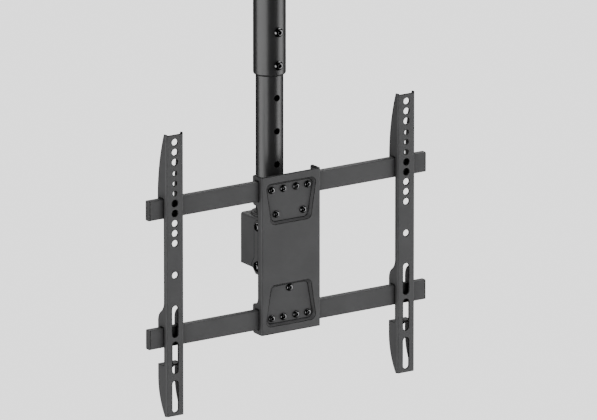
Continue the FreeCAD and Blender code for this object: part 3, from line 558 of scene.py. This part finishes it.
def cylinder(radius, low, high, sides=48):
    """Upright cylinder between two heights."""
    bpy.ops.object.select_all(action="DESELECT")
    bpy.ops.mesh.primitive_cylinder_add(
        vertices=sides, radius=radius, depth=high - low, location=(0, 0, (low + high) / 2)
    )
    bpy.ops.object.transform_apply(location=True, rotation=True, scale=True)
    return bpy.context.object


def combine(thing, tool, kind):
    """Boolean of two solids; the tool is used up."""
    change = thing.modifiers.new("shape", "BOOLEAN")
    change.operation = kind
    change.object = tool
    change.solver = "EXACT"
    only(thing)
    bpy.ops.object.modifier_apply(modifier=change.name)
    bpy.data.objects.remove(tool)
    return thing


def joined(name, pieces):
    """Joins several objects into one with a name."""
    bpy.ops.object.select_all(action="DESELECT")
    for piece in pieces:
        piece.select_set(True)
    bpy.context.view_layer.objects.active = pieces[0]
    if len(pieces) > 1:
        bpy.ops.object.join()
    pieces[0].name = name
    return pieces[0]


print("modelling helpers ready")

# %% [markdown]
# Taking places from the frame
#
# The frame tells where each small part sits. A node of several screws is copied, its loose
# triangles are merged, and its separate bodies give one box each. A new part is modelled once,
# pointing up, and a copy of it is set down in every box and joined into one piece that rides
# with the same body as the node it takes the place of.

# %% Placing helpers
MERGE_WITHIN = 0.02 * MM


def bodies_of(node_name):
    """One box, as lowest and highest corner, for each separate body of a CAD node."""
    copy = frame["nodes"][node_name].copy()
    copy.data = copy.data.copy()
    bpy.context.scene.collection.objects.link(copy)
    only(copy)
    bpy.ops.object.mode_set(mode="EDIT")
    bpy.ops.mesh.select_all(action="SELECT")
    bpy.ops.mesh.remove_doubles(threshold=MERGE_WITHIN)
    bpy.ops.mesh.separate(type="LOOSE")
    bpy.ops.object.mode_set(mode="OBJECT")
    boxes = []
    for part in list(bpy.context.selected_objects):
        corners = [vertex.co for vertex in part.data.vertices]
        low = Vector([min(corner[axis] for corner in corners) for axis in range(3)])
        high = Vector([max(corner[axis] for corner in corners) for axis in range(3)])
        boxes.append((low, high))
        bpy.data.objects.remove(part)
    return sorted(boxes, key=lambda box: tuple(round(value, 5) for value in box[0]))


AXES = {"X": 0, "Y": 1, "Z": 2}


def outward(box, way):
    """Axis and sign of a way such as -Y or +X; a bare X means away from the middle plane."""
    axis = AXES[way[-1]]
    if way == "X":
        return axis, 1 if box[0].x + box[1].x > 0 else -1
    return axis, -1 if way[0] == "-" else 1


def set_down(master, box, way):
    """Copy of a master that points up from height 0, with its top at the box's outer end."""
    axis, sign = outward(box, way)
    top = (box[0] + box[1]) / 2
    top[axis] = box[1][axis] if sign > 0 else box[0][axis]
    pointing = Vector((0, 0, 0))
    pointing[axis] = sign
    turn = Vector((0, 0, 1)).rotation_difference(pointing).to_matrix().to_4x4()
    copy = master.copy()
    copy.data = master.data.copy()
    bpy.context.scene.collection.objects.link(copy)
    copy.data.transform(Matrix.Translation(top) @ turn)
    return copy


def stand_in(node_name, pieces):
    """Joins copies into one piece that rides with a CAD node's body and takes its place."""
    piece = joined(f"{node_name}_detail", pieces)
    piece.data.materials.clear()
    piece.data.materials.append(FINISHES[slot_of[node_name]])
    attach(piece, frame["nodes"][node_name]["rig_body"])
    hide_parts(node_name)
    return piece


print("placing helpers ready")

# %% [markdown]
# Thread
#
# A thread is rolled into the shank: a ridge that climbs one pitch with each turn. Here it is a
# small triangle carried up a helix by the Screw modifier and laid over a core with a bevelled
# tip. All its sizes are shares of the pitch, so one recipe serves every screw.

# %% Thread
CORE_SIDES = 24
THREAD_STEPS = 24
THREAD_DEPTH = 0.55
RIDGE_SINK = 0.05
RIDGE_WIDTH = 0.96
TIP_BEVEL = 0.4


def thread(radius, low, high, pitch):
    """Threaded rod about Z with a bevelled tip at its lower end."""
    depth = pitch * THREAD_DEPTH
    core = cylinder(radius - depth, low, high, sides=CORE_SIDES)
    pick(core, "EDGE", at_height(low))
    bpy.ops.mesh.bevel(offset=pitch * TIP_BEVEL, segments=2, affect="EDGES")
    done(core)
    turns = int((high - low) / pitch) - 1
    bpy.ops.object.select_all(action="DESELECT")
    bpy.ops.mesh.primitive_circle_add(vertices=3, radius=pitch, fill_type="NOTHING")
    ridge = bpy.context.object
    root = radius - depth - pitch * RIDGE_SINK
    start = low + pitch * TIP_BEVEL
    corners = ((root, 0), (radius, pitch / 2), (root, pitch * RIDGE_WIDTH))
    for vertex, (x, z) in zip(ridge.data.vertices, corners):
        vertex.co = (x, 0, start + z)
    helix = ridge.modifiers.new("helix", "SCREW")
    helix.axis = "Z"
    helix.steps = THREAD_STEPS
    helix.render_steps = THREAD_STEPS
    helix.screw_offset = pitch
    helix.iterations = turns
    only(ridge)
    bpy.ops.object.modifier_apply(modifier=helix.name)
    bpy.ops.object.mode_set(mode="EDIT")
    bpy.ops.mesh.select_all(action="SELECT")
    bpy.ops.mesh.remove_doubles(threshold=SAME_PLACE)
    bpy.ops.mesh.fill_holes(sides=3)
    bpy.ops.mesh.normals_make_consistent(inside=False)
    done(ridge)
    return joined("thread", [core, ridge])


print("thread ready")

# %% [markdown]
# Screws
#
# A button screw has a domed head over a thin rim, with a hexagon socket pressed into it. The
# dome is a cylinder whose upper rim is bevelled in steps, the rim's underside is bevelled too,
# and the socket is cut by a six-sided prism. Each row of the table gives a node's screws their
# sizes; how long they are is read from the frame.

# %% Screws
HEAD_RIM = 0.8 * MM
HEAD_UNDERCUT = 0.45 * MM
SOCKET_DEPTH = 0.72
SOCKET_PAST = 1 * MM
SHANK_START = 0.9


def button_screw(radius, height, flats, shank, reach, pitch):
    """Screw whose head's top is at height 0, so that it can be set down at a box's end."""
    head = cylinder(radius, -height, 0)
    pick(head, "EDGE", at_height(0))
    bpy.ops.mesh.bevel(offset=height - HEAD_RIM, segments=7, profile=0.5, affect="EDGES")
    done(head)
    pick(head, "EDGE", at_height(-height))
    bpy.ops.mesh.bevel(offset=HEAD_UNDERCUT, segments=2, affect="EDGES")
    done(head)
    socket = cylinder(flats / math.sqrt(3), -height * SOCKET_DEPTH, SOCKET_PAST, sides=6)
    combine(head, socket, "DIFFERENCE")
    done(head, 30)
    rod = thread(shank, -height - reach, -height * SHANK_START, pitch)
    return joined("screw", [head, rod])


SCREWS = (
    # node, way its heads point, head height, hexagon, shank radius, thread pitch in millimetres
    ("height_screws", "-Y", 4.4, 5.0, 4.0, 1.25),
    ("upper_rail_screws", "-Y", 3.3, 4.0, 3.0, 1.0),
    ("lower_rail_screws", "-Y", 3.3, 4.0, 3.0, 1.0),
    ("bracket_screws", "-Y", 3.3, 4.0, 3.0, 1.0),
    ("pivot_bolts", "X", 3.2, 5.0, 4.0, 1.25),
    ("tilt_lock_bolts", "X", 3.2, 5.0, 4.0, 1.25),
    ("left_lock_screw", "-Z", 3.3, 4.0, 3.0, 1.0),
    ("right_lock_screw", "-Z", 3.3, 4.0, 3.0, 1.0),
    ("swivel_bolt", "-Z", 5.5, 6.0, 5.0, 1.5),
)


def screws_for(node_name, way, head_height, flats, shank, pitch):
    """Models one screw at the size of a node's first body and sets it down in all of them."""
    boxes = bodies_of(node_name)
    axis = AXES[way[-1]]
    across = (axis + 1) % 3
    low, high = boxes[0]
    radius = (high[across] - low[across]) / 2
    reach = high[axis] - low[axis] - head_height * MM
    master = button_screw(radius, head_height * MM, flats * MM, shank * MM, reach, pitch * MM)
    pieces = [set_down(master, box, way) for box in boxes]
    bpy.data.objects.remove(master)
    return stand_in(node_name, pieces)


for row in SCREWS:
    piece = screws_for(*row)
    print(piece.name, len(piece.data.polygons), "faces")

# %% [markdown]
# Socket bolts
#
# Two bolts cross in the ceiling socket, one above the other and square to each other, so that
# the pole can neither drop nor turn. They are the same kind of screw as the others. Each box
# is longest along its own bolt, and that tells which way its head points.

# %% Socket bolts
SOCKET_BOLT_HEAD = 4.4 * MM
SOCKET_BOLT_FLATS = 5.0 * MM
SOCKET_BOLT_SHANK = 4.0 * MM
SOCKET_BOLT_PITCH = 1.25 * MM

pieces = []
for box in bodies_of("socket_bolts"):
    size = box[1] - box[0]
    way = "-Y" if size.y > size.x else "-X"
    reach = size[AXES[way[-1]]] - SOCKET_BOLT_HEAD
    master = button_screw(
        size.z / 2, SOCKET_BOLT_HEAD, SOCKET_BOLT_FLATS, SOCKET_BOLT_SHANK, reach, SOCKET_BOLT_PITCH
    )
    pieces.append(set_down(master, box, way))
    bpy.data.objects.remove(master)
stand_in("socket_bolts", pieces)
print("socket bolts:", len(pieces))

# %% [markdown]
# Nuts
#
# A nut is a six-sided prism whose corners are turned off at both ends, bored through. Cutting a
# prism with a chamfered cylinder gives those curved corners at once. The nuts of the pivots and
# of the tilt lock sit inside the hub and mirror each other; the swivel nut tops its bolt.

# %% Nuts
TURNED_OVER = 1.001
TURNED_SIDES = 60
NUT_CHAMFER = 0.06
BORE_SIDES = 32


def bore_through(thing, radius, height):
    """Bores an upright hole through a disc or nut whose top is at height 0."""
    return combine(thing, cylinder(radius, -height * 2, height, sides=BORE_SIDES), "DIFFERENCE")


def hex_nut(flats, bore, height):
    """Nut with its top at height 0 and its axis along Z."""
    corner_radius = flats / math.sqrt(3)
    nut = cylinder(corner_radius, -height, 0, sides=6)
    turned = cylinder(corner_radius * TURNED_OVER, -height, 0, sides=TURNED_SIDES)
    for level in (0, -height):
        pick(turned, "EDGE", at_height(level))
        bpy.ops.mesh.bevel(offset=flats * NUT_CHAMFER, segments=1, affect="EDGES")
        done(turned)
    combine(nut, turned, "INTERSECT")
    bore_through(nut, bore, height)
    return done(nut, 25)


NUTS = (
    # node, way its tops point, width over flats, bore radius in millimetres
    ("pivot_nuts", "X", 13.0, 4.0),
    ("tilt_lock_nuts", "X", 13.0, 4.0),
    ("swivel_nut", "Z", 17.0, 5.0),
)
for node_name, way, flats, bore in NUTS:
    boxes = bodies_of(node_name)
    axis = AXES[way]
    height = boxes[0][1][axis] - boxes[0][0][axis]
    master = hex_nut(flats * MM, bore * MM, height)
    pieces = [set_down(master, box, way) for box in boxes]
    bpy.data.objects.remove(master)
    stand_in(node_name, pieces)
    print(node_name, len(pieces))

# %% [markdown]
# Socket nuts
#
# The cross bolts' nuts sit at the back and at the right of the socket. Here the box is thinnest
# along the bolt, since a nut is wider than it is high.

# %% Socket nuts
SOCKET_NUT_FLATS = 13.0 * MM
SOCKET_NUT_BORE = 4.0 * MM

pieces = []
for box in bodies_of("socket_nuts"):
    size = box[1] - box[0]
    way = "Y" if size.y < size.x else "+X"
    master = hex_nut(SOCKET_NUT_FLATS, SOCKET_NUT_BORE, size[AXES[way[-1]]])
    pieces.append(set_down(master, box, way))
    bpy.data.objects.remove(master)
stand_in("socket_nuts", pieces)
print("socket nuts:", len(pieces))

# %% [markdown]
# Washers
#
# A washer is stamped from sheet and tumbled, which rounds its rims. It is a bored cylinder, and
# a bevel that only takes edges above an angle softens all four rims at once.

# %% Washers
WASHERS = (
    # node, way its tops point, bore radius in millimetres
    ("tilt_lock_washers", "X", 4.0),
    ("swivel_washer", "-Z", 5.0),
)
WASHER_RIM = 0.2


def washer(radius, bore, height):
    """Washer with its top at height 0 and soft rims."""
    ring = bore_through(cylinder(radius, -height, 0), bore, height)
    soften = ring.modifiers.new("rims", "BEVEL")
    soften.width = height * WASHER_RIM
    soften.segments = 2
    soften.limit_method = "ANGLE"
    only(ring)
    bpy.ops.object.modifier_apply(modifier=soften.name)
    return done(ring, 25)


for node_name, way, bore in WASHERS:
    boxes = bodies_of(node_name)
    axis = AXES[way[-1]]
    size = boxes[0][1] - boxes[0][0]
    master = washer(size[(axis + 1) % 3] / 2, bore * MM, size[axis])
    pieces = [set_down(master, box, way) for box in boxes]
    bpy.data.objects.remove(master)
    stand_in(node_name, pieces)
    print(node_name, len(pieces))

# %% [markdown]
# Rail end caps
#
# Each rail is closed by a moulded plastic cap: a thin head with soft rims, as large as the
# tube, and a plug that grips inside. The head is a block whose corners are rounded first and
# its outer rim after. The plug is the inner face, inset by the tube's wall and drawn out.

# %% End caps
CAP_HEAD = 1.5 * MM
CAP_CORNER = 2.0 * MM
CAP_RIM = 0.6 * MM
CAP_WALL = 1.6 * MM


def end_cap(depth, height, length):
    """Cap with its outer face at height 0 and its plug below."""
    bpy.ops.object.select_all(action="DESELECT")
    bpy.ops.mesh.primitive_cube_add(
        size=1, location=(0, 0, -CAP_HEAD / 2), scale=(depth, height, CAP_HEAD)
    )
    cap = bpy.context.object
    bpy.ops.object.transform_apply(location=True, rotation=True, scale=True)
    pick(cap, "EDGE", lambda edge: abs(edge.verts[0].co.z - edge.verts[1].co.z) > SAME_PLACE)
    bpy.ops.mesh.bevel(offset=CAP_CORNER, segments=6, affect="EDGES")
    done(cap)
    pick(cap, "EDGE", at_height(0))
    bpy.ops.mesh.bevel(offset=CAP_RIM, segments=4, affect="EDGES")
    done(cap)
    pick(cap, "FACE", lambda face: face.normal.z < -0.9)
    bpy.ops.mesh.inset(thickness=CAP_WALL)
    plug = (0, 0, CAP_HEAD - length)
    bpy.ops.mesh.extrude_region_move(TRANSFORM_OT_translate={"value": plug})
    return done(cap, 30)


for rail in ("upper_rail", "lower_rail"):
    node_name = f"{rail}_caps"
    pieces = []
    for box in bodies_of(node_name):
        size = box[1] - box[0]
        master = end_cap(size.z, size.y, size.x)
        pieces.append(set_down(master, box, "X"))
        bpy.data.objects.remove(master)
    stand_in(node_name, pieces)
    print(node_name, len(pieces))

# %% [markdown]
# Weld beads
#
# The foot is welded round the inner pole's end and the socket under the ceiling plate. A weld is
# laid in small overlapping puddles, so its bead is rippled. A ring is taken as a start, and of
# each puddle's cross sections half are fattened a little. The construction has a plain sloped
# bead in both places, and the ring lies in it so that only its ripples stand out.

# %% Welds
PUDDLE_SECTIONS = 6
PUDDLE_SWELL = 0.16
SOCKET_BEAD = 3 * MM
FOOT_THICKNESS = 3 * MM


def weld(name, node_name, radius, z, thickness, puddles):
    """Rippled ring round the pole's axis that rides with a CAD node's body."""
    sections = puddles * PUDDLE_SECTIONS
    bpy.ops.object.select_all(action="DESELECT")
    bpy.ops.mesh.primitive_torus_add(
        major_radius=radius,
        minor_radius=thickness,
        major_segments=sections,
        minor_segments=10,
        location=(0, 0, z),
    )
    bead = bpy.context.object
    bpy.ops.object.transform_apply(location=True, rotation=True, scale=True)

    def in_puddle(vertex):
        turn = math.atan2(vertex.co.y, vertex.co.x) / (2 * math.pi) % 1
        return round(turn * sections) % PUDDLE_SECTIONS < PUDDLE_SECTIONS / 2

    pick(bead, "VERT", in_puddle)
    bpy.ops.transform.shrink_fatten(value=thickness * PUDDLE_SWELL)
    done(bead, 60)
    bead.name = name
    bead.data.materials.append(powder_coat)
    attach(bead, frame["nodes"][node_name]["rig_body"])
    print(name, len(bead.data.polygons), "faces")


pole_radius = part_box("inner_pole")[1].x
foot_upper_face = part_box("pole_foot")[0].z + FOOT_THICKNESS
weld(
    "foot_weld",
    "pole_foot",
    radius=pole_radius + 0.6 * MM,
    z=foot_upper_face + 0.5 * MM,
    thickness=1.3 * MM,
    puddles=40,
)
socket_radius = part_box("pole_socket")[1].x - SOCKET_BEAD
plate_under_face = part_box("ceiling_plate")[0].z
weld(
    "socket_weld",
    "pole_socket",
    radius=socket_radius + 1.0 * MM,
    z=plate_under_face - 1.0 * MM,
    thickness=1.7 * MM,
    puddles=44,
)
